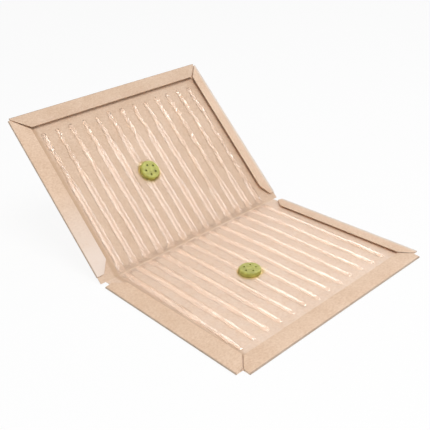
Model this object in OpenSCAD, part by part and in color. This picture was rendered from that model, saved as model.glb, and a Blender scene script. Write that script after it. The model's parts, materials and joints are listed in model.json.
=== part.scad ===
// Book-fold sticky insect trap: two card leaves on one crease, with turned-in
// flaps, beads of glue and a perforated lure on each leaf.
// The base leaf lies on Z = 0 with its middle at the origin. X runs along the crease.

/* [Card leaves] */
// Length of the crease side of each leaf
crease_len = 210; // [180:1:260]
// Depth of each leaf, from the crease to its far fold
leaf_depth = 160; // [140:1:220]
// Thickness of the card
card_t = 0.8; // [0.6:0.1:1.2]
// Angle between the two leaves as the trap stands open
open_angle = 134.6; // [60:0.1:180]

/* [Nicks and notches] */
// Depth of the nick in the base leaf's sides, at the crease
nick_depth = 5; // [2:0.5:10]
// Length of that nick, up to the start of the base leaf's side flaps
nick_len = 7; // [5:0.5:12]
// Distance from the crease to the start of the lid leaf's side flaps
lid_flap_start = 6; // [5:0.5:12]
// Square notch at the base leaf's far corners
base_notch = 6; // [2:0.5:9]
// Square notch at the lid leaf's far corners
lid_notch = 1.5; // [1.5:0.5:9]

/* [Flaps] */
// Width of the turned-in flaps
flap_w = 14.3; // [12:0.1:18]
// Width of the chamfer on a side flap's inner corner, by the crease
chamfer_w = 8; // [4:0.5:11]
// Length of that chamfer along the flap
chamfer_len = 10.5; // [4:0.5:14]
// Gap left along each mitre, measured along a flap's fold
mitre_gap = 0.5; // [0.3:0.1:1]
// How much the crease bead's radius falls short of the card's thickness
bead_step = 0.05; // [0.02:0.01:0.2]
// Running gap between a crease bead and the panel that turns on it
fold_clear = 0.2; // [0.1:0.05:0.4]

/* [Flap lift] */
// Lift of the base leaf's left flap off its panel, in degrees
base_left_lift_angle = 10; // [3:0.5:40]
// Lift of the base leaf's right flap
base_right_lift_angle = 8.5; // [3:0.5:40]
// Lift of the base leaf's front flap
base_front_lift_angle = 6; // [3:0.5:40]
// Lift of the lid leaf's left flap
lid_left_lift_angle = 3; // [3:0.5:40]
// Lift of the lid leaf's right flap
lid_right_lift_angle = 15; // [3:0.5:40]
// Lift of the lid leaf's top flap
lid_top_lift_angle = 13; // [3:0.5:40]

/* [Glue] */
// Number of beads on each leaf
bead_count = 13; // [7:1:13]
// Distance from a leaf's side to the middle of its first bead
bead_side_margin = 22.5; // [20:0.5:40]
// Width of a bead
bead_w = 7.25; // [4:0.25:8]
// Height of a bead along its middle
bead_h = 1.2; // [0.8:0.1:2]
// Distance from the far fold to the beads' round ends
bead_end_margin = 21; // [20:0.5:40]
// Distance from the crease to the glue
glue_start = 2; // [1.5:0.25:6]
// Least width of the glue strip, between two beads
strip_bridge = 2; // [1:0.25:5]
// Thickness of the glue strip
strip_h = 0.5; // [0.3:0.1:0.8]

/* [Lures] */
// Diameter of a lure
lure_d = 18.2; // [16:0.1:26]
// Height of a lure
lure_h = 4.4; // [4.2:0.1:8]
// Place of the base leaf's lure along the crease, from its middle
base_lure_x = -10.9; // [-40:0.1:40]
// Place of the lid leaf's lure along the crease, from its middle
lid_lure_x = -9; // [-40:0.1:40]
// Distance from the crease to the middle of the base leaf's lure
base_lure_from_crease = 75.4; // [40:0.2:100]
// Distance from the crease to the middle of the lid leaf's lure
lid_lure_from_crease = 72.7; // [40:0.2:100]
// Gap between a lure and the glue pressed aside by it
lure_seat_gap = 0.3; // [0.2:0.05:1]
// Height of the cup's rim, where the cap sits on it
cup_rim_h = 1.1; // [1:0.1:2]
// Rounding of the cup's foot
cup_foot_r = 0.6; // [0.2:0.1:0.9]
// Wall of the cap
cap_wall = 1; // [0.9:0.1:1.6]
// Rounding of the cap's top edge
cap_edge_r = 1.4; // [0.8:0.1:2.4]
// Number of vapour holes in the cap
hole_count = 5; // [3:1:8]
// Diameter of a vapour hole
hole_d = 1.9; // [1:0.1:2.4]
// Diameter of the ring of vapour holes
hole_ring_d = 9.8; // [7:0.1:12]
// Turn of that ring, as the lures were pressed on
hole_turn_angle = 42; // [0:1:120]
// Wall of the cup's spigot, which the cap snaps over
spigot_wall = 0.9; // [0.7:0.1:1.2]
// Height of that spigot above the rim
spigot_h = 1.6; // [1.2:0.1:2]
// Radius of the snap ring round the spigot
snap_r = 0.25; // [0.15:0.05:0.3]
// Gap between the spigot and the cap
snap_clear = 0.15; // [0.1:0.05:0.2]
// Thickness of the pheromone pad
pad_h = 1.2; // [0.8:0.1:1.8]
// Gap round that pad
pad_clear = 0.4; // [0.2:0.1:0.8]

/* [Hidden] */
$fn = 96;
eps = 0.01;
card_colour = [0.87, 0.74, 0.61];
glue_colour = [0.93, 0.86, 0.74, 0.7];
lure_colour = [0.71, 0.76, 0.22];
pad_colour = [0.52, 0.38, 0.16];

half_len = crease_len / 2;
bead_r = card_t - bead_step;
fold_r = bead_r + fold_clear;

bead_pitch = (crease_len - 2 * bead_side_margin) / (bead_count - 1);
gap_r = (bead_pitch - bead_w) / 2;
strip_w = gap_r + strip_bridge;
bead_start = glue_start + strip_w;
bead_end = leaf_depth - bead_end_margin - bead_w / 2;
bead_arc_r = (pow(bead_w / 2, 2) + pow(bead_h, 2)) / (2 * bead_h);

lure_r = lure_d / 2;
cap_bore_r = lure_r - cap_wall;
spigot_r = cap_bore_r - snap_clear;
snap_z = cup_rim_h + spigot_h / 2;
ceiling_z = lure_h - cap_wall;
pad_r = spigot_r - spigot_wall - pad_clear;

function bead_x(i) = (i - (bead_count + 1) / 2) * bead_pitch;

// A leaf is drawn with its crease on the X axis, its inner face on Z = 0 and its far fold at -Y.
module on_base() {
    translate([0, leaf_depth / 2, card_t]) children();
}

// The lid is the same leaf turned over and swung up about the crease.
module on_lid() {
    translate([0, leaf_depth / 2, card_t]) rotate([-open_angle, 0, 0]) mirror([0, 0, 1]) children();
}

module at_base_lure() {
    translate([base_lure_x, -base_lure_from_crease, 0]) children();
}

module at_lid_lure() {
    translate([lid_lure_x, -lid_lure_from_crease, 0]) children();
}

// Round bead of a crease, along X or along Y
module bead_along_x(len, r) {
    rotate([0, 90, 0]) cylinder(r = r, h = len, center = true);
}

module bead_along_y(near, far, r) {
    translate([0, -near, 0]) rotate([90, 0, 0]) cylinder(r = r, h = far - near);
}

// Sheet of one leaf with its far corners notched
module leaf_outline(notch) {
    difference() {
        translate([-half_len, -leaf_depth]) square([crease_len, leaf_depth]);
        for (side = [-1, 1])
            translate([side * half_len, -leaf_depth]) square(2 * notch, center = true);
    }
}

module leaf_sheet(notch) {
    translate([0, 0, -card_t]) linear_extrude(card_t) {
        difference() {
            leaf_outline(notch);
            children();
        }
    }
}

// Crease beads that the side flaps and the far flap turn on
module flap_beads(start, notch) {
    for (side = [-1, 1])
        translate([side * half_len, 0, 0]) bead_along_y(start, leaf_depth - notch, bead_r);
    translate([0, -leaf_depth, 0]) bead_along_x(crease_len - 2 * notch, bead_r);
}

// Side flap as cut from the blank: its fold on Y, its free edge at +X
module side_flap(start, notch, lift) {
    rotate([0, -lift, 0]) difference() {
        linear_extrude(card_t) polygon([
            [0, -start],
            [flap_w - chamfer_w, -start],
            [flap_w, -start - chamfer_len],
            [flap_w, flap_w + mitre_gap - leaf_depth],
            [notch - mitre_gap, notch - leaf_depth],
            [0, notch - leaf_depth]
        ]);
        bead_along_y(start - eps, leaf_depth - notch + eps, fold_r);
    }
}

// Far flap: its fold on X, its free edge at +Y, both ends mitred
module far_flap(notch, lift) {
    outer = half_len - notch;
    inner = half_len - flap_w - mitre_gap;
    rotate([lift, 0, 0]) difference() {
        linear_extrude(card_t) polygon([
            [-outer, 0],
            [outer, 0],
            [outer, notch - mitre_gap],
            [inner, flap_w],
            [-inner, flap_w],
            [-outer, notch - mitre_gap]
        ]);
        bead_along_x(2 * outer + 2 * eps, fold_r);
    }
}

module left_flap(start, notch, lift) {
    translate([-half_len, 0, 0]) side_flap(start, notch, lift);
}

module right_flap(start, notch, lift) {
    mirror([1, 0, 0]) left_flap(start, notch, lift);
}

module end_flap(notch, lift) {
    translate([0, -leaf_depth, 0]) far_flap(notch, lift);
}

// Domed section of a glue bead
module bead_section() {
    intersection() {
        translate([0, bead_h - bead_arc_r]) circle(bead_arc_r);
        translate([-bead_w / 2, 0]) square([bead_w, bead_h]);
    }
}

module bead_body() {
    translate([0, -bead_start, 0]) rotate([90, 0, 0])
        linear_extrude(bead_end - bead_start) bead_section();
    translate([0, -bead_end, 0]) rotate([0, 0, 180]) rotate_extrude(angle = 180) intersection() {
        bead_section();
        square([bead_w, bead_h]);
    }
}

// Room that a lure presses clear in the glue
module lure_seat() {
    translate([0, 0, -eps]) cylinder(r = lure_r + lure_seat_gap, h = lure_h);
}

// One bead, cleared by whatever is drawn in it
module glue_bead(i) {
    color(glue_colour) difference() {
        translate([bead_x(i), 0, 0]) bead_body();
        children();
    }
}

// Low strip by the crease that the beads run into, hollowed round between each two
module glue_strip() {
    strip_len = (bead_count - 1) * bead_pitch + bead_w;
    color(glue_colour) linear_extrude(strip_h) difference() {
        translate([-strip_len / 2, -bead_start]) square([strip_len, strip_w]);
        for (i = [1:bead_count - 1])
            translate([bead_x(i) + bead_pitch / 2, -bead_start]) circle(gap_r);
    }
}

// Lure cup: foot, rim and the spigot with its snap ring
module lure_cup() {
    color(lure_colour) rotate_extrude() {
        square([lure_r - cup_foot_r, cup_rim_h]);
        translate([0, cup_foot_r]) square([lure_r, cup_rim_h - cup_foot_r]);
        intersection() {
            translate([lure_r - cup_foot_r, cup_foot_r]) circle(cup_foot_r);
            square([lure_r, cup_rim_h]);
        }
        translate([spigot_r - spigot_wall, cup_rim_h - eps]) square([spigot_wall, spigot_h + eps]);
        translate([spigot_r, snap_z]) intersection() {
            circle(snap_r);
            translate([-eps, -snap_r]) square(2 * snap_r);
        }
    }
}

module cap_shell() {
    rotate_extrude() difference() {
        union() {
            translate([0, cup_rim_h]) square([lure_r - cap_edge_r, lure_h - cup_rim_h]);
            translate([0, cup_rim_h]) square([lure_r, lure_h - cap_edge_r - cup_rim_h]);
            intersection() {
                translate([lure_r - cap_edge_r, lure_h - cap_edge_r]) circle(cap_edge_r);
                translate([0, cup_rim_h]) square([lure_r, lure_h - cup_rim_h]);
            }
        }
        translate([0, cup_rim_h - eps]) square([cap_bore_r, ceiling_z - cup_rim_h + eps]);
        translate([cap_bore_r, snap_z]) circle(snap_r + 2 * snap_clear);
    }
}

// Lure cap: domed edge, snap groove and a ring of vapour holes
module lure_cap() {
    color(lure_colour) difference() {
        cap_shell();
        for (k = [0:hole_count - 1])
            rotate([0, 0, hole_turn_angle + k * 360 / hole_count])
                translate([hole_ring_d / 2, 0, ceiling_z - eps])
                    cylinder(d = hole_d, h = cap_wall + 2 * eps);
    }
}

module lure_pad() {
    color(pad_colour) translate([0, 0, cup_rim_h]) cylinder(r = pad_r, h = pad_h);
}

module base_panel() {
    color(card_colour) {
        leaf_sheet(base_notch)
            for (side = [-1, 1])
                translate([side * half_len, 0]) square(2 * [nick_depth, nick_len], center = true);
        flap_beads(nick_len, base_notch);
        bead_along_x(crease_len - 2 * nick_depth, bead_r);
    }
}

module lid_panel() {
    color(card_colour) difference() {
        union() {
            leaf_sheet(lid_notch);
            flap_beads(lid_flap_start, lid_notch);
        }
        bead_along_x(crease_len + 2 * card_t, fold_r);
    }
}

module base_left_flap() {
    color(card_colour) left_flap(nick_len, base_notch, base_left_lift_angle);
}

module base_right_flap() {
    color(card_colour) right_flap(nick_len, base_notch, base_right_lift_angle);
}

module base_front_flap() {
    color(card_colour) end_flap(base_notch, base_front_lift_angle);
}

module lid_left_flap() {
    color(card_colour) left_flap(lid_flap_start, lid_notch, lid_left_lift_angle);
}

module lid_right_flap() {
    color(card_colour) right_flap(lid_flap_start, lid_notch, lid_right_lift_angle);
}

module lid_top_flap() {
    color(card_colour) end_flap(lid_notch, lid_top_lift_angle);
}

on_base() base_panel();
on_base() base_left_flap();
on_base() base_right_flap();
on_base() base_front_flap();
on_base() glue_strip();  // base_glue_strip
for (i = [1:bead_count])
    on_base() glue_bead(i) at_base_lure() lure_seat();
on_base() at_base_lure() lure_cup();  // base_lure_cup
on_base() at_base_lure() lure_cap();  // base_lure_cap
on_base() at_base_lure() lure_pad();  // base_lure_pad

on_lid() lid_panel();
on_lid() lid_left_flap();
on_lid() lid_right_flap();
on_lid() lid_top_flap();
on_lid() glue_strip();  // lid_glue_strip
for (i = [1:bead_count])
    on_lid() glue_bead(i) at_lid_lure() lure_seat();
on_lid() at_lid_lure() lure_cup();  // lid_lure_cup
on_lid() at_lid_lure() lure_cap();  // lid_lure_cap
on_lid() at_lid_lure() lure_pad();  // lid_lure_pad
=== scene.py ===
import json
import math

import bmesh
import bpy
from mathutils import Matrix, Vector, noise


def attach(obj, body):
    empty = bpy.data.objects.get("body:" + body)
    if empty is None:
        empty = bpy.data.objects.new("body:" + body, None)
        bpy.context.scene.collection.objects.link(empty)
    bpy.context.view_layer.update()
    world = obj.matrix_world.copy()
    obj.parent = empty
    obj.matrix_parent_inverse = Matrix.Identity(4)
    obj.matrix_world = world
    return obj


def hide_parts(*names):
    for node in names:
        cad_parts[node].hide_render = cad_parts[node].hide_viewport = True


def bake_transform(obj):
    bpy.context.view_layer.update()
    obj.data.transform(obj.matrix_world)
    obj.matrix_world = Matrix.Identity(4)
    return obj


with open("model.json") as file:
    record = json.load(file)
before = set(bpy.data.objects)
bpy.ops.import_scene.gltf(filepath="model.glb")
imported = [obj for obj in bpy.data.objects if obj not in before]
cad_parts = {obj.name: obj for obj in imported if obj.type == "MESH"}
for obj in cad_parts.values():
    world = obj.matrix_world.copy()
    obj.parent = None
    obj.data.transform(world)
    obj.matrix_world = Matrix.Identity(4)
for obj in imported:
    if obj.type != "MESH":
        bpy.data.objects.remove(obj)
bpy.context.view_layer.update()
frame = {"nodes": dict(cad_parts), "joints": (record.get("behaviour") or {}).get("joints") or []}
nodes = frame["nodes"]
joints = {joint["name"]: joint for joint in frame["joints"]}
mm = 0.001
tiny = 0.001 * mm  # what is nearer than this is on the line
print("frame loaded:", len(nodes), "nodes,", len(joints), "folds")

# each leaf is worked flat: u across, v back from the crease (negative), h above its inner face
crease = Vector(joints["lid_fold"]["pos_m"])
lidUp = Vector(joints["lid_right_fold"]["axis"]).normalized()
lidIn = Vector((0.0, -lidUp.z, lidUp.y))
lidTurn = Matrix(((-1, 0, 0, 0), (0, -lidUp.y, lidIn.y, 0), (0, -lidUp.z, lidIn.z, 0), (0, 0, 0, 1)))
leafPlace = {"base": Matrix.Translation(crease), "lid": Matrix.Translation(crease) @ lidTurn}
openAngle = 90 + math.degrees(math.atan2(lidUp.y, lidUp.z))


def addNode(tree, kind, **settings):
    node = tree.nodes.new(kind)
    for key, value in settings.items():
        if key in node.inputs:
            node.inputs[key].default_value = value
        else:
            setattr(node, key, value)
    return node


def feed(tree, value, socket):  # from another node, or as a plain value
    if isinstance(value, bpy.types.NodeSocket):
        tree.links.new(value, socket)
    else:
        socket.default_value = value


def mixColour(tree, factor, first, second):
    node = addNode(tree, "ShaderNodeMix", data_type="RGBA")
    for slot, value in ((0, factor), (6, first), (7, second)):  # where this node keeps its colours
        feed(tree, value, node.inputs[slot])
    return node.outputs[2]


def doMath(tree, operation, first, second):
    node = addNode(tree, "ShaderNodeMath", operation=operation)
    feed(tree, first, node.inputs[0])
    feed(tree, second, node.inputs[1])
    return node.outputs[0]


def addUp(tree, *shares):  # each share is a value and its weight
    total = None
    for value, weight in shares:
        weighed = doMath(tree, "MULTIPLY", value, weight)
        total = weighed if total is None else doMath(tree, "ADD", total, weighed)
    return total


def spread(tree, value, low, high, toLow=0.0, toHigh=1.0):
    node = addNode(tree, "ShaderNodeMapRange")
    tree.links.new(value, node.inputs["Value"])
    for name, number in (("From Min", low), ("From Max", high), ("To Min", toLow), ("To Max", toHigh)):
        node.inputs[name].default_value = number
    return node.outputs["Result"]


def stretchedNoise(tree, vector, scale, detail, roughness=0.6, turn=0.0):
    mapping = addNode(tree, "ShaderNodeMapping")
    mapping.inputs["Scale"].default_value = scale
    mapping.inputs["Rotation"].default_value = (0.0, 0.0, turn)
    tree.links.new(vector, mapping.inputs["Vector"])
    node = addNode(tree, "ShaderNodeTexNoise", Scale=1.0, Detail=detail, Roughness=roughness)
    tree.links.new(mapping.outputs["Vector"], node.inputs["Vector"])
    return node.outputs["Fac"]


def newGroup(name, outputs):
    group = bpy.data.node_groups.new(name, "ShaderNodeTree")
    group.interface.new_socket("Vector", in_out="INPUT", socket_type="NodeSocketVector")
    for output in outputs:
        group.interface.new_socket(output, in_out="OUTPUT", socket_type="NodeSocketFloat")
    source = group.nodes.new("NodeGroupInput").outputs["Vector"]
    return group, source, group.nodes.new("NodeGroupOutput")


# paper grain: clouded tone, long fibres with a few across them, small flecks
grainLayers = {"cloud": ((42, 42, 42), 3), "grit": ((560, 800, 800), 3, 0.7, 0.3),
               "along": ((230, 1500, 1500), 4, 0.65, 0.08), "across": ((1300, 260, 260), 3, 0.6, -0.2),
               "fleck": ((520, 1150, 1150), 2, 0.5, 0.5)}  # scale, detail, roughness and turn
grainShares = {"fibre": {"along": 0.62, "across": 0.38}, "tone": {"cloud": 0.2, "fibre": 0.35, "grit": 0.45}}
grainSpread = {"tone": (0.4, 0.6), "fleck": (0.69, 0.77)}
paperGrain, grainAt, grainOut = newGroup("paperGrain", ("Tone", "Fleck", "Height"))
layer = {name: stretchedNoise(paperGrain, grainAt, *look) for name, look in grainLayers.items()}
for name, shares in grainShares.items():
    layer[name] = addUp(paperGrain, *[(layer[part], share) for part, share in shares.items()])
for name, reach in grainSpread.items():
    paperGrain.links.new(spread(paperGrain, layer[name], *reach), grainOut.inputs[name.capitalize()])
paperGrain.links.new(layer["fibre"], grainOut.inputs["Height"])

# soft mottle: slow clouds and a fine speckle, for moulded plastic, felt and glue
mottleLayers = {"Cloud": ((260, 260, 260), 3, 0.32, 0.68), "Speckle": ((1900, 1900, 1900), 2, 0.3, 0.7)}
softMottle, mottleAt, mottleOut = newGroup("softMottle", tuple(mottleLayers))
for name, (scale, detail, low, high) in mottleLayers.items():
    softMottle.links.new(spread(softMottle, stretchedNoise(softMottle, mottleAt, scale, detail), low, high),
                         mottleOut.inputs[name])


def newMaterial(name, group):
    material = bpy.data.materials.new(name)
    material.use_nodes = True
    tree = material.node_tree
    where = addNode(tree, "ShaderNodeTexCoord").outputs["Object"]
    effect = addNode(tree, "ShaderNodeGroup", node_tree=group)
    tree.links.new(where, effect.inputs["Vector"])
    return material, tree, tree.nodes["Principled BSDF"], effect.outputs


def addBump(tree, shader, height, strength, distance):
    bump = addNode(tree, "ShaderNodeBump", Strength=strength, Distance=distance)
    tree.links.new(height, bump.inputs["Height"])
    tree.links.new(bump.outputs["Normal"], shader.inputs["Normal"])


kraft = {"dark": (0.72, 0.49, 0.33, 1), "light": (0.87, 0.65, 0.485, 1), "fleck": (0.60, 0.40, 0.26, 1),
         "cut": (0.87, 0.71, 0.56, 1), "worn": (0.90, 0.78, 0.67, 1), "fleckShare": 0.45,
         "streaks": ((160, 160, 160), 4, 0.7), "streakSpread": (0.3, 0.7),
         "patches": ((90, 90, 90), 3, 0.6), "patchSpread": (0.3, 0.5, 0.8, 1.0),
         "rough": (0.72, 0.6), "shine": 0.4, "bump": 0.12, "bumpDepth": 0.4 * mm}


def kraftMaterial(name, paler, palerShare, shade=1.0, marks=()):
    material, tree, shader, grain = newMaterial(name, paperGrain)
    where = tree.nodes["Texture Coordinate"].outputs["Object"]
    place = addNode(tree, "ShaderNodeSeparateXYZ")
    tree.links.new(where, place.inputs[0])
    dark, light = (tuple(shade * c for c in kraft[key][:3]) + (1,) for key in ("dark", "light"))
    face = mixColour(tree, grain["Tone"], dark, light)
    flecked = doMath(tree, "MULTIPLY", grain["Fleck"], kraft["fleckShare"])
    face = mixColour(tree, flecked, face, kraft["fleck"])
    if paler:
        streaked = stretchedNoise(tree, where, *kraft["streaks"])
        streaked = spread(tree, streaked, *kraft["streakSpread"], *palerShare)
        face = mixColour(tree, streaked, face, paler)
    for mark in marks:  # each fades in between two places along one axis
        patchy = spread(tree, stretchedNoise(tree, where, *kraft["patches"]), *kraft["patchSpread"])
        along = place.outputs[mark["axis"]]
        fade = spread(tree, along, mark["from"] * mm, mark["to"] * mm, 0.0, mark["most"])
        fade = doMath(tree, "MULTIPLY", fade, patchy)
        if "gone" in mark:
            stop = spread(tree, along, mark["gone"] * mm, mark["until"] * mm)
            fade = doMath(tree, "MULTIPLY", fade, stop)
        face = mixColour(tree, fade, face, mark["colour"])
    tree.links.new(face, shader.inputs["Base Color"])
    tree.links.new(spread(tree, grain["Tone"], 0.0, 1.0, *kraft["rough"]), shader.inputs["Roughness"])
    shader.inputs["Specular IOR Level"].default_value = kraft["shine"]
    addBump(tree, shader, grain["Height"], kraft["bump"], kraft["bumpDepth"])
    return material


# painted sheen: the outside face is drawn paler and greyer near the right-hand outer folds, for the white
# their rounded edges reflect
paintedSheenEdge = {"axis": "X", "from": 101.5, "to": 105.2, "most": 0.8, "colour": (0.80, 0.74, 0.68, 1)}
# painted sheen: paler the lower it lies, fading out higher up
paintedSheenLow = {"axis": "Z", "from": 60, "to": 14, "most": 0.9, "colour": (0.90, 0.77, 0.68, 1)}
# painted shade: a dark band on the liners just inside the left flaps' free edges
paintedFlapShade = {"axis": "X", "from": -85, "to": -88, "until": -90, "gone": -92, "most": 0.75,
          "colour": (0.56, 0.37, 0.235, 1)}
kraftFace = kraftMaterial("kraftFace", None, None, 1.0, (paintedSheenEdge,))
kraftTop = kraftMaterial("kraftTop", None, None, 0.89)  # the lid's top flap is drawn a little darker
kraftSheenLeft = kraftMaterial("kraftSheenLeft", None, None, 0.96, (paintedSheenLow,))  # painted sheen: the lid's left flap is drawn paler towards the crease
# the base liner is mixed paler and whiter than the lid's: streaky tone, and painted sheen for the white its
# inner face reflects
linerLook = {"base": {"paler": (0.86, 0.76, 0.70, 1), "share": (0.1, 0.3), "shade": 1.02, "coat": 0.35},
             "lid": {"paler": (0.80, 0.66, 0.54, 1), "share": (0.0, 0.1), "shade": 0.89, "coat": 0.1}}
linerCoatRough = 0.45
kraftLiner = {}
for leaf, look in linerLook.items():  # inner sides, thinly coated so that the glue stays on them
    kraftLiner[leaf] = kraftMaterial(leaf + "Liner", look["paler"], look["share"], look["shade"], (paintedFlapShade,))
    linerShader = kraftLiner[leaf].node_tree.nodes["Principled BSDF"]
    linerShader.inputs["Coat Weight"].default_value = look["coat"]
    linerShader.inputs["Coat Roughness"].default_value = linerCoatRough
kraftCut = kraftMaterial("kraftCut", kraft["cut"], (0.45, 0.9))
kraftFoldShade = kraftMaterial("kraftFoldShade", kraft["worn"], (0.0, 0.25), 0.55)  # drawn dark all round, with worn paler streaks: painted shade for the fold's rounded side

glueLook = {"tint": (0.98, 0.95, 0.92, 1), "stain": (0.78, 0.70, 0.16, 1), "rim": (0.80, 0.74, 0.68, 1),
            "ior": 1.5, "rough": 0.12, "transmission": 0.92, "film": 0.15, "bump": 0.06,
            "bumpDepth": 0.4 * mm, "lampsBy": (0.02, 0.02, 0.02, 1)}
clearGlue, glueTree, glueShader, glueMottle = newMaterial("clearGlue", softMottle)
stained, rimmed, thickness = (addNode(glueTree, "ShaderNodeAttribute", attribute_name=name).outputs["Fac"]
                              for name in ("stain", "rim", "thick"))
# painted shade: the glue is tinted darker low at the base beads' right feet
glueTint = mixColour(glueTree, rimmed, glueLook["tint"], glueLook["rim"])
glueTint = mixColour(glueTree, stained, glueTint, glueLook["stain"])
glueTree.links.new(glueTint, glueShader.inputs["Base Color"])
glueShader.inputs["IOR"].default_value = glueLook["ior"]
glueShader.inputs["Transmission Weight"].default_value = glueLook["transmission"]
glueShader.inputs["Roughness"].default_value = glueLook["rough"]
addBump(glueTree, glueShader, glueMottle["Cloud"], glueLook["bump"], glueLook["bumpDepth"])
glueTree.links.new(spread(glueTree, thickness, 0.0, 1.0, glueLook["film"], 1.0), glueShader.inputs["Alpha"])
letLampsBy = addNode(glueTree, "ShaderNodeMixShader")  # little of the lamps gets through to the card
glueTree.links.new(addNode(glueTree, "ShaderNodeLightPath").outputs["Is Shadow Ray"], letLampsBy.inputs[0])
glueTree.links.new(glueShader.outputs[0], letLampsBy.inputs[1])
glueTree.links.new(addNode(glueTree, "ShaderNodeBsdfTransparent", Color=glueLook["lampsBy"]).outputs[0],
                   letLampsBy.inputs[2])
glueTree.links.new(letLampsBy.outputs[0], glueTree.nodes["Material Output"].inputs["Surface"])

limeLook = {"deep": (0.34, 0.33, 0.06, 1), "bright": (0.56, 0.55, 0.12, 1), "speck": (0.22, 0.22, 0.035, 1),
            "speckBelow": 0.25, "speckMost": 0.55, "rough": (0.42, 0.6), "soft": 0.2,
            "softTint": (1.0, 0.9, 0.25), "softDepth": 3 * mm, "bump": 0.15, "bumpDepth": 0.2 * mm}
limePlastic, limeTree, limeShader, limeMottle = newMaterial("limePlastic", softMottle)
limeFace = mixColour(limeTree, limeMottle["Cloud"], limeLook["deep"], limeLook["bright"])
specked = spread(limeTree, limeMottle["Speckle"], limeLook["speckBelow"], 0.0, 0.0, limeLook["speckMost"])
limeFace = mixColour(limeTree, specked, limeFace, limeLook["speck"])
limeTree.links.new(limeFace, limeShader.inputs["Base Color"])
limeRough = spread(limeTree, limeMottle["Speckle"], 0.0, 1.0, *limeLook["rough"])
limeTree.links.new(limeRough, limeShader.inputs["Roughness"])
limeShader.inputs["Subsurface Weight"].default_value = limeLook["soft"]
limeShader.inputs["Subsurface Radius"].default_value = limeLook["softTint"]
limeShader.inputs["Subsurface Scale"].default_value = limeLook["softDepth"]
addBump(limeTree, limeShader, limeMottle["Speckle"], limeLook["bump"], limeLook["bumpDepth"])

# the felt is drawn near black: its own dark colour, darkened further as painted shade for the cap's holes it
# shows through
feltLook = {"dark": (0.01, 0.008, 0.003, 1), "pale": (0.025, 0.018, 0.008, 1), "rough": 0.85,
            "bump": 0.6, "bumpDepth": 0.3 * mm}
feltAndHoleShade, feltTree, feltShader, feltMottle = newMaterial("feltAndHoleShade", softMottle)
feltTree.links.new(mixColour(feltTree, feltMottle["Speckle"], feltLook["dark"], feltLook["pale"]),
                   feltShader.inputs["Base Color"])
feltShader.inputs["Roughness"].default_value = feltLook["rough"]
addBump(feltTree, feltShader, feltMottle["Speckle"], feltLook["bump"], feltLook["bumpDepth"])
print("materials made")


def editMode():
    bpy.ops.object.mode_set(mode="EDIT")
    bpy.ops.mesh.select_mode(type="VERT")
    bpy.ops.mesh.select_all(action="SELECT")


def objectMode():
    bpy.ops.object.mode_set(mode="OBJECT")


def startPiece(name, scale=(1.0, 1.0, 1.0)):  # the primitive just added, at its size and place
    piece = bpy.context.object
    piece.name = piece.data.name = name
    piece.scale = scale
    bpy.ops.object.transform_apply(location=True, rotation=True, scale=True)
    return piece


def addPlane(name, low, high):
    bpy.ops.object.select_all(action="DESELECT")
    middle = ((low[0] + high[0]) / 2, (low[1] + high[1]) / 2, 0.0)
    bpy.ops.mesh.primitive_plane_add(size=1.0, location=middle)
    return startPiece(name, (high[0] - low[0], high[1] - low[1], 1.0))


def cutAlong(point, normal, dropOuter):
    bpy.ops.mesh.select_all(action="SELECT")
    bpy.ops.mesh.bisect(plane_co=(*point, 0.0), plane_no=Vector((*normal, 0.0)).normalized(),
                        clear_outer=dropOuter)


def pick(piece, kind, test):
    bpy.ops.mesh.select_mode(type=kind)
    bpy.ops.mesh.select_all(action="DESELECT")
    shape = bmesh.from_edit_mesh(piece.data)
    for part in (shape.edges if kind == "EDGE" else shape.faces):
        if test(part):
            part.select_set(True)
    bmesh.update_edit_mesh(piece.data)


def thicken(distance):
    bpy.ops.mesh.select_all(action="SELECT")
    bpy.ops.mesh.extrude_region_move(TRANSFORM_OT_translate={"value": (0.0, 0.0, distance)})
    bpy.ops.mesh.select_all(action="SELECT")
    bpy.ops.mesh.normals_make_consistent(inside=False)


def selectOnly(piece):
    bpy.ops.object.select_all(action="DESELECT")
    piece.select_set(True)
    bpy.context.view_layer.objects.active = piece


def putInPlace(piece, matrix):
    selectOnly(piece)
    piece.matrix_world = matrix
    bpy.ops.object.transform_apply(location=True, rotation=True, scale=True)


def smoothBy(piece, degrees):
    selectOnly(piece)
    bpy.ops.object.shade_smooth_by_angle(angle=math.radians(degrees))


cardCut = {"length": 210 * mm, "depth": 160 * mm, "thick": 0.8 * mm, "flap": 14.3 * mm,
           "chamferWide": 8 * mm, "chamferLong": 10.5 * mm, "mitreGap": 0.5 * mm, "edgeRound": 0.13 * mm,
           "edgeSteps": 2, "smooth": 40, "level": 0.9, "flapSteps": 10,
           "foldInner": 0.03 * mm, "foldStep": 14, "foldSmooth": 35}
leafCut = {"base": {"start": 7 * mm, "notch": 6 * mm, "nick": 5 * mm, "far": "front"},
           "lid": {"start": 6 * mm, "notch": 1.5 * mm, "nick": 0.0, "far": "top"}}
flapLift = {"base_left": 10, "base_right": 8.5, "base_front": 6,
            "lid_left": 3, "lid_right": 15, "lid_top": 13}
flapTwist = {"base_left": -1.9, "lid_right": -1.9, "lid_top": 1.9}  # extra lift at the +Y end of the fold
halfLen = cardCut["length"] / 2


def roundCutEdges(piece, onFold, linerUp):
    pick(piece, "EDGE", lambda edge: not any(all(fold(v.co) for v in edge.verts) for fold in onFold))
    bpy.ops.mesh.bevel(offset=cardCut["edgeRound"], segments=cardCut["edgeSteps"], affect="EDGES")
    objectMode()
    outside = {"lid_top_flap_card": kraftTop, "lid_left_flap_card": kraftSheenLeft}.get(piece.name, kraftFace)
    for material in (outside, kraftCut, kraftLiner[piece.name.split("_")[0]]):
        piece.data.materials.append(material)
    for face in piece.data.polygons:
        up = face.normal.z * linerUp
        face.material_index = 2 if up > cardCut["level"] else 0 if up < -cardCut["level"] else 1
    smoothBy(piece, cardCut["smooth"])


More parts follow.
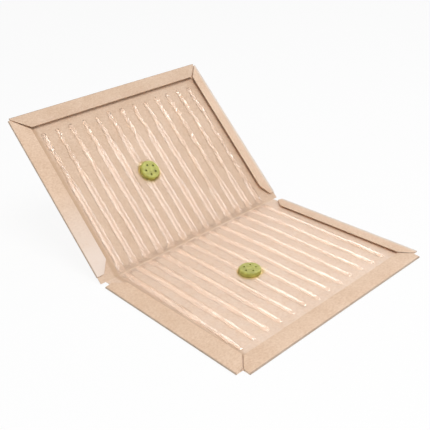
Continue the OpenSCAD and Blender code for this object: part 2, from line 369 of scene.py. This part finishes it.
def makeLeaf(leaf):
    cut, depth = leafCut[leaf], cardCut["depth"]
    piece = addPlane(leaf + "_leaf", (-halfLen, -depth), (halfLen, 0.0))
    editMode()
    for side in (-1, 1):
        cutAlong((side * (halfLen - cut["notch"]), 0), (1, 0), False)
        if cut["nick"]:
            cutAlong((side * (halfLen - cut["nick"]), 0), (1, 0), False)
    cutAlong((0, cut["notch"] - depth), (0, 1), False)
    if cut["nick"]:
        cutAlong((0, -cut["start"]), (0, 1), False)

    def inNotch(face):
        at = face.calc_center_median()
        far = abs(at.x) > halfLen - cut["notch"] and at.y < cut["notch"] - depth
        return far or (abs(at.x) > halfLen - cut["nick"] and at.y > -cut["start"])

    pick(piece, "FACE", inNotch)
    bpy.ops.mesh.delete(type="FACE")
    bpy.ops.mesh.select_all(action="SELECT")
    bpy.ops.mesh.dissolve_limited()
    thicken(-cardCut["thick"])
    roundCutEdges(piece, (lambda co: abs(abs(co.x) - halfLen) < tiny, lambda co: abs(co.y + depth) < tiny,
                          lambda co: abs(co.y) < tiny), 1)
    putInPlace(piece, leafPlace[leaf])
    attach(piece, leaf)
    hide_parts(leaf + "_panel")
    return piece


# a fold's own frame: X into the panel, Y along the fold, Z above the inner face
def foldFrame(leaf, point, inward, along):
    q, s = Vector(inward), Vector(along)
    n = q.cross(s)
    turn = Matrix(((q.x, s.x, n.x, 0), (q.y, s.y, n.y, 0), (q.z, s.z, n.z, 0), (0, 0, 0, 1)))
    return leafPlace[leaf] @ Matrix.Translation(point) @ turn


def makeCrease(name, place, low, high, lift):
    angle, thick = math.radians(180 - lift), cardCut["thick"]
    bpy.ops.object.select_all(action="DESELECT")
    bpy.ops.mesh.primitive_plane_add(size=1.0, rotation=(0.0, math.pi / 2, 0.0),
                                     location=(0.0, (low + high) / 2, -(thick + cardCut["foldInner"]) / 2))
    piece = startPiece(name, (thick - cardCut["foldInner"], high - low, 1.0))
    editMode()
    bpy.ops.mesh.spin(steps=max(4, round((180 - lift) / cardCut["foldStep"])), angle=angle,
                      center=(0.0, 0.0, 0.0), axis=(0.0, -1.0, 0.0))
    bpy.ops.mesh.select_all(action="SELECT")
    bpy.ops.mesh.remove_doubles(threshold=tiny / 10)
    bpy.ops.mesh.normals_make_consistent(inside=False)
    objectMode()
    piece.data.materials.append(kraftFoldShade)
    smoothBy(piece, cardCut["foldSmooth"])
    putInPlace(piece, place)
    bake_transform(piece)
    return piece


def makeFlap(leaf, side, place, sign):
    cut, flap, depth = leafCut[leaf], cardCut["flap"], cardCut["depth"]
    name = f"{leaf}_{side}_flap"
    lift = flapLift[f"{leaf}_{side}"]
    far = side == cut["far"]
    if far:
        low, high = cut["notch"] - halfLen, halfLen - cut["notch"]
    else:
        low, high = sorted((sign * (cut["notch"] - depth), -sign * cut["start"]))
    piece = addPlane(name + "_card", (0.0, low), (flap, high))
    editMode()
    if far:
        inner = halfLen - flap - cardCut["mitreGap"]
        cutAlong((flap, inner), (1, 1), True)
        cutAlong((flap, -inner), (1, -1), True)
    else:
        cutAlong((flap - cardCut["chamferWide"], -sign * cut["start"]),
                 (cardCut["chamferLong"], sign * cardCut["chamferWide"]), True)
        cutAlong((flap, sign * (flap + cardCut["mitreGap"] - depth)), (1, -sign), True)
    steps = cardCut["flapSteps"]
    for step in range(1, steps):
        cutAlong((0.0, low + (high - low) * step / steps), (0, 1), False)
    thicken(cardCut["thick"])
    roundCutEdges(piece, (lambda co: abs(co.x) < tiny,), -1)
    twist = math.radians(flapTwist.get(f"{leaf}_{side}", 0.0))
    for vertex in piece.data.vertices:  # card springs open unevenly along its fold
        offMiddle = 2 * (vertex.co.y - low) / (high - low) - 1
        vertex.co = Matrix.Rotation(-twist * offMiddle, 3, "Y") @ vertex.co
    putInPlace(piece, place @ Matrix.Rotation(-math.radians(lift), 4, "Y"))
    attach(piece, name)
    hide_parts(name)
    makeCrease(name + "_crease", place, low, high, lift)
    return piece


for leaf in ("base", "lid"):
    makeLeaf(leaf)
    leftSign = 1 if leaf == "base" else -1  # the lid is worked turned round, so its left is at +u
    for side, sign in (("left", leftSign), ("right", -leftSign)):
        sideFold = foldFrame(leaf, (-sign * halfLen, 0, 0), (sign, 0, 0), (0, sign, 0))
        makeFlap(leaf, side, sideFold, sign)
    farFold = foldFrame(leaf, (0, -cardCut["depth"], 0), (0, 1, 0), (-1, 0, 0))
    makeFlap(leaf, leafCut[leaf]["far"], farFold, 1)
mainHalf = halfLen - leafCut["base"]["nick"]
mainFold = foldFrame("base", (0, 0, 0), (0, -1, 0), (1, 0, 0))
makeCrease("main_crease", mainFold, -mainHalf, mainHalf, openAngle)
print("card leaves, flaps and creases made")

# glue is shaped in millimetres: u across the leaf, d away from the crease
glueBed = {"count": 13, "pitch": 13.75, "half": 3.6, "height": 1.1, "crest": 0.8, "join": 0.3,
           "start": 5.0, "startTaper": 4.0, "lowFrom": 3, "lowTo": 13, "lowShare": 0.5,
           "tip": 139.0, "tipWander": 2.2, "tipTaper": 4.5,
           "web": 0.22, "webStart": 0.5, "webRise": 1.8, "webSlope": 0.3, "webFade": 6, "webJoin": 0.35,
           "hollow": 3.2, "hollowAt": 8.0, "collar": 1.1, "collarWide": 1.8,
           "seatGap": 0.05, "seatDepth": 20, "seatSides": 96, "margin": 6.0, "sink": 0.1,
           "stepAcross": 0.4, "stepAlong": 1.0, "smooth": 50}
beadLean = {"from": 50, "base": {"shift": 0.0, "drift": -2.4}, "lid": {"shift": -0.4, "drift": 0.7}}
nozzleKnob = {"at": 9.5, "long": 1.5, "aside": 0.8, "wide": 1.4,  # where the nozzle set down
              "height": 0.4, "edge": 0.3}
beadWaves = {"centre": ((0.35, 0.022, 0), (0.12, 0.09, 50)),  # share, pace along the bead and draw
             "half": ((0.1, 0.05, 100), (0.05, 0.17, 150)), "top": ((0.16, 0.04, 200), (0.06, 0.15, 250))}
freshForm = {"fadeIn": 8, "taller": 0.2, "narrower": 0.3, "pinch": (0.28, 0.13), "swayPace": 0.1,
             "lumps": ((1, 0.28, 0.16, 9.1), (0.5, 0.6, 0.33, 1))}  # share, paces across and along, draw
beadDraw = {"leaf": 20.5, "tip": 300, "drops": 350, "pinch": 400, "sway": 450}  # keeps the wavers apart
freshGlue = {"base": {"from": (88, 95, 116, 117, 112, 110, 114, 118, 116, 120, 114, 110, 104),
                      "drops": (0.16, 0.09), "sway": 0.5, "lump": 0.1, "square": 5.0, "flat": 1.0},
             "lid": {"from": (30, 45, 40, 40, 118, 112, 112, 116, 118, 114, 98, 94, 92),
                     "drops": (0.4, 0.13), "sway": 1.1, "lump": 0.5, "square": 3.2, "flat": 0.9}}
glueMarks = {"foot": 1.5, "rim": (0.6, 0.2), "film": 0.25, "oil": 4.0, "oilWander": 2, "oilWaves": 3,
             "oilFull": 0.3}
lure = {"radius": 9.1, "base": (-10.9, 75.4), "lid": (9.0, 72.7)}  # places in u and d


def softMax(first, second, width):
    near = max(width - abs(first - second), 0.0) / width
    return max(first, second) + near * near * width / 4


def wander(seed, along, scale):
    return noise.noise(Vector((seed * 3.7, along * scale, seed * 1.3)))


def ramp(value, low, high):
    return min(1.0, max(0.0, (value - low) / (high - low)))


def waver(kind, key, d):
    return sum(share * wander(key + draw, d, pace) for share, pace, draw in beadWaves[kind])


def middleOf(index):
    return (index - (glueBed["count"] - 1) / 2) * glueBed["pitch"]


def wetAt(index, d, leaf):  # fresh, lumpy glue at the far ends, and down the right side of the lid
    start = freshGlue[leaf]["from"][index]
    return ramp(d, start - freshForm["fadeIn"], start)


def beadHeight(index, u, d, leaf, seed):
    key = index + seed * beadDraw["leaf"]
    wet, fresh, lean = wetAt(index, d, leaf), freshGlue[leaf], beadLean[leaf]
    centre = middleOf(index) + lean["shift"] + lean["drift"] * ramp(d, beadLean["from"], glueBed["tip"])
    sway = fresh["sway"] * wander(key + beadDraw["sway"], d, freshForm["swayPace"])
    centre += waver("centre", key, d) + wet * sway
    pinch, pace = freshForm["pinch"]
    half = glueBed["half"] * (1 + waver("half", key, d))
    half *= 1 + wet * (pinch * wander(key + beadDraw["pinch"], d, pace) - freshForm["narrower"])
    top = glueBed["height"] * (1 + waver("top", key, d))
    low = glueBed["lowShare"]  # lower by the crease
    top *= low + (1 - low) * ramp(d, glueBed["lowFrom"], glueBed["lowTo"])
    swell, pace = fresh["drops"]  # fresh glue stands in drops
    top *= 1 + wet * (freshForm["taller"] + swell * wander(key + beadDraw["drops"], d, pace))
    tip = glueBed["tip"] + glueBed["tipWander"] * wander(key + beadDraw["tip"], 5.0, 1.0)
    across = abs(u - centre) / half
    crest = glueBed["crest"]  # two even slopes, rounded on top
    ridge = 1 - (math.hypot(across, crest) - crest) / (math.hypot(1, crest) - crest)
    slab = 1 - across ** fresh["square"]
    end = max(0.0, 1 + (d - tip) / glueBed["tipTaper"], (glueBed["start"] - d) / glueBed["startTaper"])
    offKnob = math.hypot((d - nozzleKnob["at"]) / nozzleKnob["long"],
                         (u - centre + nozzleKnob["aside"]) / nozzleKnob["wide"])
    knob = nozzleKnob["height"] * math.exp(-offKnob ** 2) * ramp(ridge, 0.0, nozzleKnob["edge"])
    return top * (ridge + (slab - ridge) * wet * fresh["flat"] - end * end) + knob


def webHeight(u, d):
    slot = u / glueBed["pitch"]
    middle = (math.floor(slot) + 0.5) * glueBed["pitch"]  # middle of the nearest gap between two beads
    reach = Vector((u - middle, min(0.0, d - glueBed["hollowAt"])))
    inside = min(reach.length - glueBed["hollow"], d - glueBed["webStart"],
                 (glueBed["count"] - 1) / 2 * glueBed["pitch"] + glueBed["half"] - abs(u))
    height = inside * glueBed["webSlope"]
    if inside > 0:
        height = glueBed["web"] * (1 - math.exp(-inside / glueBed["webRise"]))
    return height - max(0.0, d - glueBed["hollowAt"]) / glueBed["webFade"]


def nearBead(u):
    return min(glueBed["count"] - 1, max(0, round(u / glueBed["pitch"] + (glueBed["count"] - 1) / 2)))


def fromLure(u, d, leaf):
    return math.hypot(u - lure[leaf][0], d - lure[leaf][1]) - lure["radius"]


def glueHeight(u, d, leaf, seed):
    slot = u / glueBed["pitch"] + (glueBed["count"] - 1) / 2
    height = -2.0  # well under the card
    for index in {max(0, math.floor(slot)), min(glueBed["count"] - 1, math.ceil(slot))}:
        if 0 <= index < glueBed["count"]:
            height = softMax(height, beadHeight(index, u, d, leaf, seed), glueBed["join"])
    height = softMax(height, webHeight(u, d), glueBed["webJoin"])
    lump = sum(share * noise.noise(Vector((u * across, d * along, seed * draw)))
               for share, across, along, draw in freshForm["lumps"])
    height += freshGlue[leaf]["lump"] * lump * ramp(height, 0.0, 1.0) * wetAt(nearBead(u), d, leaf)
    collar = glueBed["collar"] * (1 - max(0.0, fromLure(u, d, leaf)) / glueBed["collarWide"])
    return softMax(height, collar, glueBed["join"])


def makeGlue(leaf, seed):
    wide = (glueBed["count"] - 1) * glueBed["pitch"] + 2 * glueBed["half"] + glueBed["margin"]
    long = glueBed["tip"] + glueBed["margin"]
    bpy.ops.object.select_all(action="DESELECT")
    bpy.ops.mesh.primitive_grid_add(x_subdivisions=round(wide / glueBed["stepAcross"]),
                                    y_subdivisions=round(long / glueBed["stepAlong"]), size=1.0,
                                    location=(0.0, -long * mm / 2, 0.0))
    piece = startPiece(leaf + "_glue", (wide * mm, long * mm, 1.0))
    for vertex in piece.data.vertices:
        vertex.co.z = glueHeight(vertex.co.x / mm, -vertex.co.y / mm, leaf, seed) * mm
    editMode()
    bpy.ops.mesh.bisect(plane_co=(0, 0, 0), plane_no=(0, 0, 1), clear_inner=True)
    bpy.ops.mesh.select_all(action="SELECT")
    bpy.ops.mesh.extrude_region_move(TRANSFORM_OT_translate={"value": (0.0, 0.0, 0.0)})
    bpy.ops.transform.resize(value=(1.0, 1.0, 0.0), center_override=(0.0, 0.0, -glueBed["sink"] * mm))
    bpy.ops.mesh.select_all(action="SELECT")
    bpy.ops.mesh.normals_make_consistent(inside=False)
    objectMode()
    seatRadius = lure["radius"] + glueBed["seatGap"]
    bpy.ops.mesh.primitive_cylinder_add(vertices=glueBed["seatSides"], radius=seatRadius * mm,
                                        depth=glueBed["seatDepth"] * mm,
                                        location=(lure[leaf][0] * mm, -lure[leaf][1] * mm, 0.0))
    seat = bpy.context.object
    bpy.context.view_layer.objects.active = piece
    press = piece.modifiers.new("lureSeat", "BOOLEAN")
    press.object, press.operation, press.solver = seat, "DIFFERENCE", "EXACT"
    bpy.ops.object.modifier_apply(modifier=press.name)
    bpy.data.objects.remove(seat)
    for name in ("stain", "rim", "thick"):
        piece.data.attributes.new(name, "FLOAT", "POINT")
    stain, rim, thick = (piece.data.attributes[name].data for name in ("stain", "rim", "thick"))
    for vertex in piece.data.vertices:
        u, d, height = vertex.co.x / mm, -vertex.co.y / mm, vertex.co.z / mm
        # painted shade: low glue at the right foot of each base bead gets the darker tint
        rightFoot = leaf == "base" and u - middleOf(nearBead(u)) > glueMarks["foot"]
        rim[vertex.index].value = ramp(height, *glueMarks["rim"]) if rightFoot else 0.0
        thick[vertex.index].value = ramp(height, 0.0, glueMarks["film"])
        creep = glueMarks["oilWander"] * wander(seed, math.atan2(u, d), glueMarks["oilWaves"])
        oilTo = glueMarks["oil"] + creep  # oil creeps out of the lure
        stain[vertex.index].value = ramp(fromLure(u, d, leaf), oilTo, glueMarks["oilFull"])
    piece.data.materials.clear()
    piece.data.materials.append(clearGlue)
    smoothBy(piece, glueBed["smooth"])
    putInPlace(piece, leafPlace[leaf])
    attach(piece, leaf)
    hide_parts(leaf + "_glue_strip", *[f"{leaf}_bead_{i + 1}" for i in range(glueBed["count"])])
    return piece


for leaf, seed in (("base", 1), ("lid", 2)):
    made = makeGlue(leaf, seed)
    print("glue on the", leaf, "leaf:", len(made.data.polygons), "faces")

padLook = {"radius": 6.6, "low": 1.1, "height": 1.2, "sides": 64, "round": 0.3, "roundSteps": 3,
           "rings": (1.2, 2.0, 1.8), "smooth": 40}
for leaf in ("base", "lid"):
    bpy.ops.object.select_all(action="DESELECT")
    padMiddle = (padLook["low"] + padLook["height"] / 2) * mm
    bpy.ops.mesh.primitive_cylinder_add(vertices=padLook["sides"], radius=padLook["radius"] * mm,
                                        depth=padLook["height"] * mm,
                                        location=(lure[leaf][0] * mm, -lure[leaf][1] * mm, padMiddle))
    pad = startPiece(leaf + "_felt_pad")
    editMode()
    pick(pad, "EDGE", lambda edge: abs(edge.verts[0].co.z - edge.verts[1].co.z) < tiny)
    bpy.ops.mesh.bevel(offset=padLook["round"] * mm, segments=padLook["roundSteps"], affect="EDGES")
    pick(pad, "FACE", lambda face: len(face.verts) == padLook["sides"])
    for ring in padLook["rings"]:
        bpy.ops.mesh.inset(thickness=ring * mm)
    objectMode()
    pad.data.materials.append(feltAndHoleShade)
    smoothBy(pad, padLook["smooth"])
    putInPlace(pad, leafPlace[leaf])
    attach(pad, leaf)
    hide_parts(leaf + "_lure_pad")
    for part in ("cup", "cap"):
        node = nodes[f"{leaf}_lure_{part}"]
        node.data.materials.clear()
        node.data.materials.append(limePlastic)
print("lures dressed")

stageLook = {"floor": 6.0, "floorDrop": 0.2 * mm, "floorColour": (0.95, 0.95, 0.95, 1), "floorRough": 0.9,
             "floorGlow": 0.9, "ambient": 0.45}


def seenDirectly(tree):  # by the camera, or in a reflection or through the glue
    rays = addNode(tree, "ShaderNodeLightPath").outputs
    throughGlue = doMath(tree, "MAXIMUM", rays["Is Glossy Ray"], rays["Is Transmission Ray"])
    return doMath(tree, "MAXIMUM", rays["Is Camera Ray"], throughGlue)


bpy.ops.object.select_all(action="DESELECT")
bpy.ops.mesh.primitive_plane_add(size=stageLook["floor"], location=(0.0, 0.0, -stageLook["floorDrop"]))
floor = bpy.context.object
floor.name = "floor"
floorPaint = bpy.data.materials.new("floorPaint")
floorPaint.use_nodes = True
tree = floorPaint.node_tree
paint = tree.nodes["Principled BSDF"]
paint.inputs["Base Color"].default_value = stageLook["floorColour"]
paint.inputs["Roughness"].default_value = stageLook["floorRough"]
glow = addNode(tree, "ShaderNodeEmission")
blend = addNode(tree, "ShaderNodeMixShader")
tree.links.new(doMath(tree, "MULTIPLY", seenDirectly(tree), stageLook["floorGlow"]), blend.inputs[0])
tree.links.new(paint.outputs[0], blend.inputs[1])
tree.links.new(glow.outputs[0], blend.inputs[2])
tree.links.new(blend.outputs[0], tree.nodes["Material Output"].inputs["Surface"])
floor.data.materials.append(floorPaint)

world = bpy.data.worlds.new("studio")
bpy.context.scene.world = world
world.use_nodes = True
tree = world.node_tree
sky = tree.nodes["Background"].inputs
sky["Color"].default_value = (1, 1, 1, 1)
tree.links.new(spread(tree, seenDirectly(tree), 0.0, 1.0, stageLook["ambient"], 1.0), sky["Strength"])

# the key lights the card, and the others are white cards that only show in what shines
lamps = {"key": {"towards": (-0.1, -0.42, 0.9), "away": 1.4, "size": (0.7, 0.7), "radiance": 7.0,
                 "shine": False},
         "left": {"towards": (-0.04, -0.51, 0.85), "away": 1.3, "size": (0.75, 0.5), "radiance": 3.8},
         "back": {"towards": (0.55, 0.62, 0.50), "away": 1.5, "size": (1.3, 0.6), "radiance": 0.7},
         "behind": {"towards": (0.17, 0.585, 0.79), "away": 1.4, "size": (0.65, 0.5), "radiance": 0.5},
         "right": {"towards": (0.93, -0.03, 0.36), "away": 1.4, "size": (1.0, 0.5), "radiance": 3.2,
                   "along": (0.1785, 0.36, -0.3545)},
         "strip": {"towards": (0.671, 0.482, 0.565), "away": 1.39, "size": (0.8, 0.2), "radiance": 4.0,
                   "along": (0.24, -0.096, -0.1055)},
         "lidStrip": {"towards": (0.525, -0.195, 0.828), "away": 1.42, "size": (0.6, 0.22), "radiance": 12.0,
                      "along": (0.229, 0.06, -0.133)}}
aim = Vector((0.0, 0.03, 0.03))
for name, lamp in lamps.items():
    data = bpy.data.lights.new(name, "AREA")
    data.shape = "RECTANGLE"
    data.size, data.size_y = lamp["size"]
    data.energy = lamp["radiance"] * math.pi * lamp["size"][0] * lamp["size"][1]
    light = bpy.data.objects.new(name, data)
    bpy.context.scene.collection.objects.link(light)
    towards = Vector(lamp["towards"]).normalized()
    light.location = aim + towards * lamp["away"]
    light.visible_glossy = lamp.get("shine", True)
    light.visible_diffuse = not light.visible_glossy
    along = Vector(lamp.get("along", towards.cross((0, 0, 1))))
    along = (along - towards * along.dot(towards)).normalized()
    light.rotation_euler = Matrix((along, towards.cross(along), towards)).transposed().to_euler()

shot = {"azimuth": -39.679, "elevation": 27.949, "roll": -4.044, "at": (-0.33847, -0.31919, 0.29557),
        "lens": 56.206, "shift": (0.0581, 0.0116)}
azimuth, elevation, roll = (math.radians(shot[key]) for key in ("azimuth", "elevation", "roll"))
back = Vector((math.sin(azimuth) * math.cos(elevation), -math.cos(azimuth) * math.cos(elevation),
               math.sin(elevation)))
right = Vector((math.cos(azimuth), math.sin(azimuth), 0.0))
up = back.cross(right)
acrossView = right * math.cos(roll) + up * math.sin(roll)
upView = up * math.cos(roll) - right * math.sin(roll)
cameraData = bpy.data.cameras.new("camera")
cameraData.sensor_width, cameraData.lens = 36.0, shot["lens"]
cameraData.shift_x, cameraData.shift_y = shot["shift"]
cameraData.clip_start = 0.01
camera = bpy.data.objects.new("camera", cameraData)
turned = Matrix((acrossView, upView, back)).transposed().to_4x4()
camera.matrix_world = Matrix.Translation(shot["at"]) @ turned
bpy.context.scene.collection.objects.link(camera)
bpy.context.scene.camera = camera
bpy.context.scene.view_settings.view_transform = "Standard"
print("stage, lamps and camera set")
